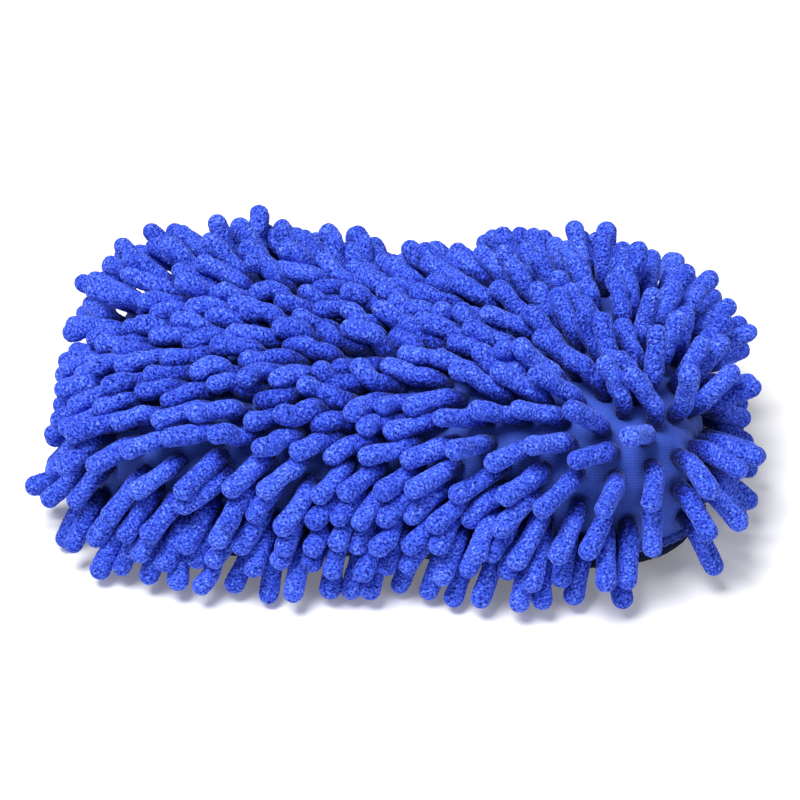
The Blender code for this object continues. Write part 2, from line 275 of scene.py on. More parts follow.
def bag_mesh():
    """The closed bag as quads, its two poles as fans. Returns (points, faces)."""
    outline = plan_outline(BAG_AROUND)
    profile = bag_profile(BAG_CROWN, BAG_BACK)
    plan = outline[None] * profile[:, 0, None, None]
    height = np.broadcast_to(profile[:, 1, None, None], plan.shape[:2] + (1,))
    rings = warp(np.concatenate([plan, height], axis=2)).reshape(-1, 3)
    poles = warp([[0, 0, -BACK_DEPTH], [0, 0, CROWN_HEIGHT]])
    faces = tube_quads(len(profile), BAG_AROUND).tolist()
    bottom, top = len(rings), len(rings) + 1
    last = len(rings) - BAG_AROUND
    for j in range(BAG_AROUND):
        k = (j + 1) % BAG_AROUND
        faces.append((j, bottom, k))
        faces.append((last + j, last + k, top))
    return np.vstack([rings, poles]), faces


def new_object(name, points, faces):
    mesh = bpy.data.meshes.new(name)
    mesh.from_pydata([tuple(p) for p in points], [], faces)
    mesh.update()
    return linked(name, mesh)


def points_of(mesh):
    out = np.empty(len(mesh.vertices) * 3)
    mesh.vertices.foreach_get("co", out)
    return out.reshape(-1, 3)


CLOTH_FRAMES = 20
MOST_SWELL = 0.0035
CLOTH = {
    "quality": 6,
    "mass": 0.25,
    "tension_stiffness": 12,
    "compression_stiffness": 12,
    "shear_stiffness": 6,
    "bending_stiffness": 0.4,
    "use_pressure": True,
    "uniform_pressure_force": 4.0,
    "vertex_group_mass": "held",
}


def inflate(obj, pinned):
    """Blows the bag up against its pinned seam and strap, and caps how far a point may move."""
    group = obj.vertex_groups.new(name="held")
    group.add([int(i) for i in pinned], 1.0, "REPLACE")
    cloth = obj.modifiers.new("cloth", "CLOTH")
    for name, value in CLOTH.items():
        setattr(cloth.settings, name, value)
    cloth.settings.effector_weights.gravity = 0
    cloth.point_cache.frame_start, cloth.point_cache.frame_end = 1, CLOTH_FRAMES
    scene = bpy.context.scene
    for step in range(1, CLOTH_FRAMES + 1):
        scene.frame_set(step)
    evaluated = obj.evaluated_get(bpy.context.evaluated_depsgraph_get())
    after = points_of(evaluated.data)
    before = points_of(obj.data)
    obj.modifiers.remove(cloth)
    scene.frame_set(1)
    move = after - before
    size = np.linalg.norm(move, axis=1, keepdims=True)
    move *= MOST_SWELL * np.tanh(size / MOST_SWELL) / np.maximum(size, 1e-9)
    return before + move


def make_bag():
    """The swollen bag's points and faces, and a tree of it, one level smoother, to aim rays at."""
    points, faces = bag_mesh()
    obj = new_object("bag", points, faces)
    index = np.arange(len(points))
    on_seam = index // BAG_AROUND == BAG_BACK - 1
    under_strap = (np.abs(points[:, 0]) < STRAP_HIGH[0]) & (points[:, 2] < SEAM_Z)
    points = inflate(obj, index[on_seam | under_strap])
    points[:, 2] = np.maximum(points[:, 2], FLOOR_CLEARANCE)
    obj.data.vertices.foreach_set("co", points.ravel())
    apply_subdivision(obj, 1)
    vertices = [v.co.copy() for v in obj.data.vertices]
    tree = BVHTree.FromPolygons(vertices, [tuple(p.vertices) for p in obj.data.polygons])
    bpy.data.objects.remove(obj)
    return points, faces, tree


def apply_subdivision(obj, levels):
    smooth = obj.modifiers.new("smooth", "SUBSURF")
    smooth.levels = levels
    smooth.render_levels = levels
    apply_modifiers(obj)


def thicken(obj, thickness):
    """Gives a sheet its thickness, inwards from its outer face."""
    thick = obj.modifiers.new("thick", "SOLIDIFY")
    thick.thickness = thickness
    thick.offset = -1
    apply_modifiers(obj)


def apply_modifiers(obj):
    """Replaces an object's mesh with what its modifiers make of it."""
    graph = bpy.context.evaluated_depsgraph_get()
    made = bpy.data.meshes.new_from_object(obj.evaluated_get(graph))
    obj.modifiers.clear()
    obj.data = made


def cast(tree, origins, directions):
    """Where rays from inside the bag meet it, and the bag's normals there."""
    origins = np.broadcast_to(origins, directions.shape)
    places = np.empty(directions.shape)
    normals = np.empty(directions.shape)
    for i, (origin, direction) in enumerate(zip(origins, directions)):
        place, normal, _, _ = tree.ray_cast(Vector(origin), Vector(direction))
        places[i], normals[i] = place, normal
    flip = (normals * directions).sum(axis=1) < 0
    normals[flip] *= -1
    return places, normals


def cast_at(tree, aims, shares):
    """The same for rays through the aims, from a place inside at these shares of their x and y."""
    middle = aims * [*shares, 0] + [0, 0, SEAM_Z]
    return cast(tree, middle, unit(aims - middle))


# ---- where fingers grow


SIDE_ANGLE = math.radians(55)
CORNER_SHARE = 0.78
ROW_MARGIN = 0.0006
PATH_STEPS = 600
CAST_STEPS = 40
# The lowest rows on each side are grown closer.
SIDE_ROWS = 4
SIDE_DENSITY = 1.42
# Where a row starts and ends, in pitches, and how unevenly it is sewn.
ROW_START = 0.25
ROW_STAGGER = 0.5
START_SCATTER = 0.12
PITCH_SCATTER = 0.13
FIRST_ROOT = 0.1
LAST_MARGIN = 0.05
ROOT_SCATTER = 0.0009
ROOT_AIM = (0.6, 0.5)


def outside_loaf(points):
    """Below 0 inside the plain loaf's upper half, 0 on it and above 0 outside."""
    x, y, z = np.moveaxis(np.abs(points), -1, 0)
    plan = (x / HALF_LENGTH) ** PLAN_POWER + (y / HALF_WIDTH) ** PLAN_POWER
    return plan ** (CROWN_POWER / PLAN_POWER) + (z / CROWN_HEIGHT) ** CROWN_POWER - 1


def loaf_path(origin, angle, axes):
    """Where rays that turn through the angles, in the plane of two axes, meet the plain loaf."""
    directions = np.zeros((len(angle), 3))
    directions[:, axes[0]], directions[:, axes[1]] = np.cos(angle), np.sin(angle)
    near, far = np.zeros(len(angle)), np.full(len(angle), 2 * HALF_LENGTH)
    for _ in range(CAST_STEPS):
        middle = (near + far) / 2
        inside = outside_loaf(origin + directions * middle[:, None]) < 0
        near, far = np.where(inside, middle, near), np.where(inside, far, middle)
    return origin + directions * near[:, None]


def top_path(y):
    """A row over the crown, from the seam at one end to the seam at the other."""
    path = warp(loaf_path(np.array([0, y, 0]), np.linspace(math.pi, 0, PATH_STEPS), (0, 2)))
    return path[path[:, 2] > SEAM_Z + ROW_MARGIN]


def side_path(z, outermost, spacing):
    """A row level along the rear side, round both corners to the outermost top row."""
    path = warp(loaf_path(np.array([0, 0, z]), np.linspace(math.pi, 0, PATH_STEPS), (0, 1)))
    apart = np.linalg.norm(path[:, None] - outermost[None], axis=2).min(axis=1)
    return path[(apart > CORNER_SHARE * spacing) & (path[:, 1] > outermost[0, 1])]


def row_paths():
    """Every row's path, front to rear, with as many rows as the frame has."""
    section = loaf_path(np.zeros(3), np.linspace(math.pi / 2, 0, PATH_STEPS), (1, 2))
    steps = np.diff(section, axis=0)
    lengths = np.linalg.norm(steps, axis=1)
    along = np.concatenate([[0], np.cumsum(lengths)])
    half = len(ROWS) // 2
    spacing = (along[-1] - ROW_MARGIN) / half
    rear = []
    for at in (np.arange(half) + 0.5) * spacing:
        y, z = (np.interp(at, along, section[:, axis]) for axis in (1, 2))
        if np.interp(at, along[1:], -steps[:, 2] / lengths) > math.sin(SIDE_ANGLE):
            rear.append(side_path(z, outermost, spacing))
        else:
            outermost = top_path(y)
            rear.append(outermost)
    return [path * [1, -1, 1] for path in rear[::-1]] + rear


def grow_roots(tree, random):
    """(row, place, normal) of every finger. Neighbouring rows are staggered."""
    rows, aims = [], []
    for row, path in enumerate(row_paths()):
        fine = evenly(path, PATH_STEPS)
        step = np.linalg.norm(np.diff(fine, axis=0), axis=1).mean()
        side = row < SIDE_ROWS or row >= len(ROWS) - SIDE_ROWS
        share = step / FINGER_PITCH * (SIDE_DENSITY if side else 1)
        grown = np.cumsum(np.full(PATH_STEPS, share))
        count = int(grown[-1])
        first = ROW_START + ROW_STAGGER * (row % 2) + random.uniform(-START_SCATTER, START_SCATTER)
        wanted = first + np.arange(count) + random.uniform(-PITCH_SCATTER, PITCH_SCATTER, count)
        for at in wanted[(wanted > FIRST_ROOT) & (wanted < grown[-1] - LAST_MARGIN)]:
            aims.append([np.interp(at, grown, axis) for axis in fine.T])
            rows.append(row)
    aims = np.array(aims)
    aims[:, 1:] += random.uniform(-ROOT_SCATTER, ROOT_SCATTER, (len(aims), 2))
    return np.array(rows), *cast_at(tree, aims, ROOT_AIM)


# ---- how the pile is brushed


# The lay at places on the bag: (x, y, z, lean x, lean y, lean z, lift). Places are shares of the
# bag's half length, half width and full height. The lean is a direction in the object's frame,
# which is pressed into the surface, and the lift is the sine of a finger's angle off it.
LAY = [
    # Over the top, from the -X end to the middle.
    (-0.80, 0.0, 0.95, -1.0, -0.05, 0.0, 0.34),
    (-0.40, 0.0, 1.00, -1.0, -0.06, 0.0, 0.24),
    (0.00, 0.0, 0.95, -1.0, -0.08, 0.0, 0.26),
    (-0.80, -0.5, 0.95, -1.0, -0.28, 0.0, 0.32),
    (-0.40, -0.5, 0.97, -1.0, -0.20, 0.0, 0.26),
    (0.00, -0.5, 0.95, -1.0, -0.28, 0.0, 0.30),
    (-0.80, 0.6, 0.95, -0.8, 0.22, 0.3, 0.90),
    (-0.40, 0.6, 0.97, -0.8, 0.12, 0.1, 0.84),
    (0.00, 0.6, 0.92, -0.9, 0.05, 0.0, 0.50),
    # Over the top, from the middle to the +X end.
    (0.30, 0.0, 1.00, -0.9, 0.30, 0.0, 0.50),
    (0.60, 0.0, 1.00, -0.6, 0.45, 0.0, 0.68),
    (0.88, 0.0, 0.92, -0.1, 0.60, 0.0, 0.85),
    (0.30, -0.5, 0.97, -0.9, 0.12, 0.0, 0.48),
    (0.60, -0.5, 0.97, -0.7, 0.35, 0.0, 0.62),
    (0.88, -0.5, 0.90, -0.3, 0.20, 0.0, 0.78),
    (0.30, 0.6, 0.97, -0.6, 0.40, 0.0, 0.72),
    (0.60, 0.6, 0.97, -0.3, 0.50, 0.0, 0.82),
    (0.90, 0.7, 0.85, 0.2, 0.50, 0.0, 0.86),
    # The rear side.
    (-0.70, 0.95, 0.80, -0.3, 0.1, 1.0, 0.72),
    (0.00, 0.95, 0.80, -0.6, 0.2, 0.5, 0.72),
    (0.70, 0.95, 0.80, 0.0, 0.1, 1.0, 0.76),
    (-0.60, 1.00, 0.45, -0.4, 0.0, -0.8, 0.60),
    (0.60, 1.00, 0.45, 0.1, 0.0, -0.8, 0.60),
    # The front shoulder and side, from the -X end to the +X end.
    (-0.80, -0.92, 0.82, -1.0, -0.2, -0.42, 0.46),
    (-0.40, -0.92, 0.82, -1.0, -0.2, -0.34, 0.44),
    (0.00, -0.92, 0.80, -0.9, -0.2, -0.45, 0.46),
    (0.40, -0.92, 0.82, -0.9, -0.1, -0.35, 0.52),
    (0.75, -0.92, 0.80, -0.6, -0.1, -0.10, 0.62),
    (-0.80, -1.00, 0.52, -0.7, 0.0, -0.80, 0.60),
    (-0.40, -1.00, 0.52, -0.7, 0.0, -0.75, 0.60),
    (0.00, -1.00, 0.52, -0.6, 0.0, -0.80, 0.60),
    (0.40, -1.00, 0.52, -0.6, 0.0, -0.75, 0.62),
    (0.80, -1.00, 0.50, -0.3, 0.0, -0.80, 0.66),
    (-0.80, -1.00, 0.30, -0.35, 0.0, -1.0, 0.74),
    (-0.20, -1.00, 0.30, -0.30, 0.0, -1.0, 0.74),
    (0.40, -1.00, 0.30, -0.20, 0.0, -1.0, 0.74),
    (0.85, -1.00, 0.30, 0.10, 0.0, -1.0, 0.76),
    # The -X end.
    (-1.00, 0.0, 0.80, -0.6, 0.1, -0.2, 0.66),
    (-1.00, 0.7, 0.75, -0.4, 0.5, 0.1, 0.74),
    (-1.00, -0.7, 0.70, -0.6, -0.5, -0.5, 0.60),
    (-1.05, 0.0, 0.50, 0.0, -0.1, -1.0, 0.62),
    (-1.05, 0.0, 0.28, 0.0, -0.1, -1.0, 0.66),
    (-1.00, -0.8, 0.35, -0.3, -0.3, -1.0, 0.60),
    # The +X end.
    (1.00, 0.0, 0.80, 0.2, 0.2, 0.4, 0.85),
    (1.00, 0.7, 0.75, 0.3, 0.5, 0.4, 0.85),
    (1.00, -0.7, 0.70, 0.3, -0.4, -0.2, 0.72),
    (1.05, 0.0, 0.50, 0.0, 0.0, -0.5, 0.82),
    (1.05, 0.0, 0.28, 0.0, -0.1, -1.0, 0.72),
    (1.00, -0.8, 0.35, 0.3, -0.3, -1.0, 0.62),
]
LAY_REACH = 0.26
SCATTER = 0.10
# Where the pile folds together over the waist, its lay is more mixed.
FOLD_PLACE = np.array([0.16, -0.35, 0.95])
FOLD_REACH = 0.30
FOLD_SCATTER = 0.55
LIFT_SCATTER = 0.11
LIFT_LIMITS = (0.15, 0.97)


def lay_of(places, normals, random):
    """Each finger's direction: the brushed lay, blended from the nearest listed places."""
    table = np.array(LAY)
    shares = places / np.array([HALF_LENGTH, HALF_WIDTH, COVER_HIGH[2]])
    apart = ((shares[:, None] - table[None, :, :3]) ** 2).sum(axis=2)
    weight = np.exp(-apart / LAY_REACH**2) + 1e-12
    weight /= weight.sum(axis=1, keepdims=True)
    lay = weight @ table[:, 3:]
    folded = np.exp(-((shares - FOLD_PLACE) ** 2).sum(axis=1) / FOLD_REACH**2)[:, None]
    lean = unit(lay[:, :3])
    lean += random.normal(0, 1, lean.shape) * (SCATTER + FOLD_SCATTER * folded)
    lean = unit(lean - normals * (lean * normals).sum(axis=1, keepdims=True))
    lift = lay[:, 3] + random.normal(0, LIFT_SCATTER, len(lay))
    lift = np.clip(lift, *LIFT_LIMITS)[:, None]
    return normals * lift + lean * np.sqrt(1 - lift**2)


# ---- the pile's settling


SETTLE_STEPS = 130
PUSH_SHARE = 0.52
SHAPE_SHARE = 0.024
DROOP = 0.00003
# A finger starts along this mix of the bag's normal and its lay, and turns into its lay.
ROOT_HEADING = (0.75, 0.55)
KEPT_HEADING = 0.5
LAY_PULL = 0.62
BEND_PULL = 0.55
BEND_SCATTER = 0.10
# The balls' sizes as shares of the finger's radius, and how far they are held off the bag.
BALL_SHARE = 0.97
ROOT_BALL = 0.8
TIP_BALL = 0.94
CLEARANCE_SHARE = 0.92
CLEARANCE_RISE = 3.0
PAIR_MARGIN = 0.0025
PAIR_BLOCK = 400
PAIR_TURNS = 10
MOST_PUSH = 0.0012
# The least reach of two links, in links, which keeps a finger from folding.
LEAST_REACH = 1.93
LIFT_TURNS = 3
LAST_LIFTS = 8
LIFT_REACH = 0.03
HEIGHT_REACH = 0.08


def near_pairs(points, owner, reach):
    """Pairs of particles of different fingers that are nearer than reach."""
    first, second = [], []
    for start in range(0, len(points), PAIR_BLOCK):
        apart = points[start : start + PAIR_BLOCK, None] - points[None]
        near = (apart**2).sum(axis=2) < reach**2
        i, j = np.nonzero(near)
        i += start
        keep = (i < j) & (owner[i] != owner[j])
        first.append(i[keep])
        second.append(j[keep])
    return np.concatenate(first), np.concatenate(second)


def settle(tree, places, normals, lay, lengths, random):
    """Fingers as chains of balls: each springs to its own lay, and pushes others, bag and floor."""
    count = len(places)
    step = (lengths / (PARTICLES - 1))[:, None]
    chain = np.empty((count, PARTICLES, 3))
    chain[:, 0] = places
    bend = random.normal(0, BEND_SCATTER, (count, 3))
    heading = normals * ROOT_HEADING[0] + lay * ROOT_HEADING[1]
    for k in range(1, PARTICLES):
        ahead = unit(heading)
        chain[:, k] = chain[:, k - 1] + ahead * step
        share = min(1.0, k / 2.0)
        heading = ahead * (1 - KEPT_HEADING * share) + lay * LAY_PULL * share + bend * BEND_PULL
    target = chain - chain[:, :1]
    owner = np.repeat(np.arange(count), PARTICLES)
    size = np.full((count, PARTICLES), FINGER_RADIUS * BALL_SHARE)
    size[:, 0] *= ROOT_BALL
    size[:, -1] *= TIP_BALL
    size = size.ravel()
    firm = np.tile(np.arange(PARTICLES) == 0, count)
    clearance = np.minimum(1.0, np.linspace(0.0, 1.0, PARTICLES) * CLEARANCE_RISE)
    clearance = clearance * FINGER_RADIUS * CLEARANCE_SHARE
    for turn in range(SETTLE_STEPS):
        flat = chain.reshape(-1, 3)
        if turn % PAIR_TURNS == 0:
            first, second = near_pairs(flat, owner, 2 * FINGER_RADIUS + PAIR_MARGIN)
        gap = flat[second] - flat[first]
        far = np.linalg.norm(gap, axis=1)
        overlap = size[first] + size[second] - far
        hit = overlap > 0
        push = gap[hit] / np.maximum(far[hit], 1e-6)[:, None] * overlap[hit, None] * PUSH_SHARE
        moved = np.zeros_like(flat)
        for axis in range(3):
            moved[:, axis] -= np.bincount(first[hit], push[:, axis], len(flat))
            moved[:, axis] += np.bincount(second[hit], push[:, axis], len(flat))
        longest = np.linalg.norm(moved, axis=1, keepdims=True)
        moved *= np.minimum(1, MOST_PUSH / np.maximum(longest, 1e-9))
        moved[firm] = 0
        chain = (flat + moved).reshape(count, PARTICLES, 3)
        chain[:, 1:, 2] -= DROOP * np.arange(1, PARTICLES)
        chain[:, 1:] += SHAPE_SHARE * (target + chain[:, :1] - chain)[:, 1:]
        for _ in range(2):
            for k in range(1, PARTICLES):
                link = chain[:, k] - chain[:, k - 1]
                link *= step / np.linalg.norm(link, axis=1, keepdims=True)
                chain[:, k] = chain[:, k - 1] + link
            for k in range(2, PARTICLES):
                wide = chain[:, k] - chain[:, k - 2]
                long = np.linalg.norm(wide, axis=1, keepdims=True)
                short = np.maximum(0, LEAST_REACH * step - long)
                chain[:, k] += wide / long * short * 0.5
        if turn % LIFT_TURNS == LIFT_TURNS - 1 or turn > SETTLE_STEPS - LAST_LIFTS:
            for k in range(1, PARTICLES):
                for i in range(count):
                    lift_off(tree, chain[i, k], clearance[k])
        chain[:, 1:, 2] = np.maximum(chain[:, 1:, 2], FINGER_RADIUS + FLOOR_CLEARANCE)
    return chain


def lift_off(tree, point, clearance):
    """Moves a point out along the bag's normal until it clears the bag."""
    near, normal, _, _ = tree.find_nearest(Vector(point), LIFT_REACH)
    if near is None:
        return
    offset = np.array(point) - near
    height = offset @ np.array(normal)
    if height < clearance:
        point += np.array(normal) * (clearance - height)


def height_over(tree, point):
    """How far a point is off the bag along the bag's normal."""
    near, normal, _, _ = tree.find_nearest(Vector(point), HEIGHT_REACH)
    return (Vector(point) - near).dot(normal) if near else HEIGHT_REACH


# ---- skinning the pile


AROUND = 44
ALONG = 72
TUFTS = 950
TUFT_REACH = 0.00052
TUFT_HEIGHT = 0.00046
TEMPLATES = 14
GOLDEN_TURN = math.pi * (3 - math.sqrt(5))
# Painted shade low in the pile: darkest on the bag, gone at this height over it.
PAINTED_SHADE_HEIGHT = 2.7 * FINGER_RADIUS
ROOT_SHARE = 0.86
ROOT_RISE = 0.30
WAVER = 0.03
WAVER_RATE = 9.0
TIP_SHARE = 1.05
TIP_CROWDING = 0.12
# How unevenly the tufts stand and turn, how tall and wide they are, and how far they are squashed.
TUFT_SHIFT = 0.012
TUFT_TURN = 0.09
TUFT_TALL = (0.55, 1.0)
TUFT_WIDE = (0.85, 1.2)
TUFT_SQUASH = 1.25
TUFT_BLOCK = 50
TUFT_LEVEL = 0.62
TUFT_FADE = 1.6
# Each finger swells here and there by this share, at some rate and from some start.
SWELL = 0.05
SWELL_RATES = (4, 9)
SWELL_STARTS = (0, 6)
LEAST_RADIUS = 0.00002


def finger_profile(share):
    """Radius along a finger as a share of the full one: narrow root, full body, round tip."""
    body = ROOT_SHARE + (1 - ROOT_SHARE) * smooth_step(share / ROOT_RISE)
    body *= 1 + WAVER * np.sin(share * WAVER_RATE)
    tip_length = FINGER_RADIUS / FINGER_LENGTH * TIP_SHARE
    into = np.clip((share - (1 - tip_length)) / tip_length, 0, 1)
    return body * np.sqrt(np.maximum(0, 1 - into**2))


def ring_shares():
    """Where the rings lie: even along the body and closer over the tip."""
    straight = np.linspace(0, 1, ALONG)
    return np.sin(straight * math.pi / 2) * TIP_CROWDING + straight * (1 - TIP_CROWDING)


def tuft_templates(random):
    """Heights of tufts over a straight finger's rings, 0 in the gaps and 1 on the tops."""
    shares = ring_shares()
    angle = turns(AROUND)
    radius = finger_profile(shares) * FINGER_RADIUS
    ring = np.stack([np.cos(angle), np.sin(angle)], axis=1)
    along = np.broadcast_to((shares * FINGER_LENGTH)[:, None, None], (ALONG, AROUND, 1))
    surface = np.concatenate([radius[:, None, None] * ring[None], along], axis=2).reshape(-1, 3)
    made = []
    for _ in range(TEMPLATES):
        at = (np.arange(TUFTS) + 0.5) / TUFTS + random.uniform(-TUFT_SHIFT, TUFT_SHIFT, TUFTS)
        turn = np.arange(TUFTS) * GOLDEN_TURN + random.uniform(-TUFT_TURN, TUFT_TURN, TUFTS)
        wide = np.interp(at, shares, radius)
        centres = np.stack([wide * np.cos(turn), wide * np.sin(turn), at * FINGER_LENGTH], axis=1)
        tall = random.uniform(*TUFT_TALL, TUFTS)
        reach = TUFT_REACH * random.uniform(*TUFT_WIDE, TUFTS)
        best = np.zeros(len(surface))
        for start in range(0, TUFTS, TUFT_BLOCK):
            block = slice(start, start + TUFT_BLOCK)
            apart = surface[:, None] - centres[None, block]
            apart[..., 2] *= TUFT_SQUASH
            far = (apart**2).sum(axis=2) / reach[block] ** 2
            dome = np.sqrt(np.maximum(0, 1 - far)) * tall[block]
            best = np.maximum(best, dome.max(axis=1))
        made.append(best.reshape(ALONG, AROUND))
    return made


def spline(chain, shares):
    """Points along a smooth curve through each chain's balls."""
    padded = np.concatenate([2 * chain[:, :1] - chain[:, 1:2], chain,
                             2 * chain[:, -1:] - chain[:, -2:-1]], axis=1)
    at = shares * (PARTICLES - 1)
    k = np.minimum(at.astype(int), PARTICLES - 2)
    t = (at - k)[None, :, None]
    p0, p1, p2, p3 = (padded[:, k + i] for i in range(4))
    return 0.5 * (2 * p1 + (p2 - p0) * t + (2 * p0 - 5 * p1 + 4 * p2 - p3) * t**2
                  + (3 * p1 - p0 - 3 * p2 + p3) * t**3)


def sweep(curves, hint):
    """Frames along curves, carried without twist. Returns (across, upward) unit vectors."""
    tangents = unit(np.gradient(curves, axis=1))
    across = np.empty_like(curves)
    across[:, 0] = unit(np.cross(tangents[:, 0], hint))
    for k in range(1, curves.shape[1]):
        carried = across[:, k - 1]
        sideways = (carried * tangents[:, k]).sum(axis=1, keepdims=True)
        across[:, k] = unit(carried - tangents[:, k] * sideways)
    return across, np.cross(tangents, across)


def skin_fingers(chains, thick, heights, normals, random, templates):
    """(points, tuft heights, share out of painted shade) of the tube round each chain.

    The share goes from 0 on the bag, in full painted shade, to 1 at the height where the painted shade
    ends.
    """
    shares = ring_shares()
    curves = spline(chains, shares)
    across, upward = sweep(curves, random.normal(size=(len(chains), 3)))
    profile = finger_profile(shares)
    points, tufts, out_of_shade = [], [], []
    for i in range(len(chains)):
        tuft = np.roll(templates[random.integers(TEMPLATES)], random.integers(AROUND), axis=1)
        phase = shares * random.uniform(*SWELL_RATES) + random.uniform(*SWELL_STARTS)
        radius = FINGER_RADIUS * thick[i] * (profile * (1 + SWELL * np.sin(phase)))[:, None]
        grow = TUFT_HEIGHT * (tuft - TUFT_LEVEL) * np.minimum(1, profile * TUFT_FADE)[:, None]
        radius = np.maximum(radius + grow, LEAST_RADIUS)
        ring = circles(across[i], upward[i], AROUND)
        body = curves[i][:, None] + radius[..., None] * ring
        points.append(body.reshape(-1, 3))
        tufts.append(tuft.ravel())
        # Painted shade low in the pile: the share out of it grows with height over the bag.
        height = np.interp(shares, np.linspace(0, 1, PARTICLES), heights[i])[:, None]
        height = height + radius * (ring @ normals[i])
        out_of_shade.append(np.clip(height / PAINTED_SHADE_HEIGHT, 0, 1).ravel())
    return points, tufts, out_of_shade


def mesh_from(name, points, quads, fans=()):
    """A mesh from arrays: quads, then closing polygons of any length."""
    mesh = bpy.data.meshes.new(name)
    mesh.vertices.add(len(points))
    mesh.vertices.foreach_set("co", np.asarray(points, np.float32).ravel())
    loops = [quads.ravel()] + [np.asarray(fan) for fan in fans]
    sizes = np.concatenate([np.full(len(quads), 4)] + [[len(fan)] for fan in fans])
    starts = np.concatenate([[0], np.cumsum(sizes)[:-1]])
    mesh.loops.add(int(sizes.sum()))
    mesh.loops.foreach_set("vertex_index", np.concatenate(loops).astype(np.int32))
    mesh.polygons.add(len(sizes))
    mesh.polygons.foreach_set("loop_start", starts.astype(np.int32))
    mesh.polygons.foreach_set("use_smooth", np.ones(len(sizes), bool))
    mesh.update(calc_edges=True)
    return linked(name, mesh)


def add_attribute(obj, name, values):
    attribute = obj.data.attributes.new(name, "FLOAT", "POINT")
    attribute.data.foreach_set("value", np.asarray(values, np.float32).ravel())


def add_pile(tree, rows, chains, thick, normals, random, finish):
    """One piece for each row of fingers, in place of the frame's row."""
    templates = tuft_templates(random)
    heights = np.array([[height_over(tree, point) for point in chain] for chain in chains])
    for row, node in enumerate(ROWS):
        members = np.nonzero(rows == row)[0]
        points, tufts, out_of_shade = skin_fingers(
            chains[members], thick[members], heights[members], normals[members], random, templates)
        quads, ends = capped_tubes(len(members), ALONG, AROUND)
        piece = mesh_from(node + "_pile", np.concatenate(points), quads, ends)
        # The tuft heights also paint shade into the gaps between tufts, in the chenille finish.
        add_attribute(piece, "tuft", np.concatenate(tufts))
        # Painted shade low in the pile, for the chenille finish.
        add_attribute(piece, "out_of_painted_shade", np.concatenate(out_of_shade))
        shade = np.repeat(random.uniform(0, 1, len(members)), ALONG * AROUND)
        add_attribute(piece, "shade", shade)
        piece.data.materials.append(finish)
        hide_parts(node)
        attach(piece, "pad")


# ---- the bag's pieces


KNIT_RADIUS = 0.052
COVER_THICKNESS = 0.0012
PUCKER_DEPTH = 0.0007
PUCKER_REACH = 0.0034
CORE_INSET = 0.0028
BACK_COLUMNS = 210
BACK_ROWS = 212
BACK_STEPS = 60
BACK_MARGIN = 0.0006
BACK_AIM = (0.8, 0.8)
RIDGE_PITCH = 0.00145
RIDGE_HEIGHT = 0.00042
RIDGE_WAVE = 0.0046
RIDGE_SWAY = (0.45, 0.30)
RIDGE_ROUGHNESS = 0.2
MESH_THICKNESS = 0.0018


def set_points(obj, points):
    obj.data.vertices.foreach_set("co", np.asarray(points, np.float32).ravel())
    obj.data.update()


def normals_of(mesh):
    out = np.empty(len(mesh.vertices) * 3)
    mesh.vertex_normals.foreach_get("vector", out)
    return out.reshape(-1, 3)


def finish_piece(piece, finish, slot_name, *nodes):
    """Smooth shading, a finish and the frame's nodes that it stands for. Its slot name is not used."""
    piece.data.shade_smooth()
    piece.data.materials.clear()
    piece.data.materials.append(finish)
    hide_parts(*nodes)


def section_place(points):
    """How far round the bag's cross-section each point is, measured roughly along the cloth."""
    return np.arctan2(points[:, 2] - SEAM_Z, points[:, 1]) * KNIT_RADIUS


def add_cover(points, faces, roots, finish):
    """The knit over the crown, puckered where the fingers are sewn in."""
    first = (BAG_BACK - 1) * BAG_AROUND
    last = len(points) - 1
    kept = [face for face in faces if min(face) >= first and len(points) - 2 not in face]
    moved = {old: new for new, old in enumerate(list(range(first, last - 1)) + [last])}
    kept = [tuple(moved[i] for i in face) for face in kept]
    piece = new_object("knit_cover", points[list(moved)], kept)
    apply_subdivision(piece, 2)
    place = points_of(piece.data)
    sunk = np.zeros(len(place))
    for root in roots:
        near = ((place - root) ** 2).sum(axis=1)
        sunk = np.maximum(sunk, np.exp(-near / PUCKER_REACH**2))
    set_points(piece, place - normals_of(piece.data) * (PUCKER_DEPTH * sunk)[:, None])
    # Painted shade: the knit is drawn darker in the dimples round the finger roots.
    add_attribute(piece, "pucker_shade", sunk)
    add_attribute(piece, "section", section_place(place))
    thicken(piece, COVER_THICKNESS)
    finish_piece(piece, finish, "knit_fabric", "chenille_cover")
    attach(piece, "pad")


def add_core(points, faces, finish):
    """The foam block inside the bag."""
    piece = new_object("foam_block", points, faces)
    set_points(piece, points - normals_of(piece.data) * CORE_INSET)
    apply_subdivision(piece, 1)
    finish_piece(piece, finish, "foam", "foam_core")
    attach(piece, "pad")


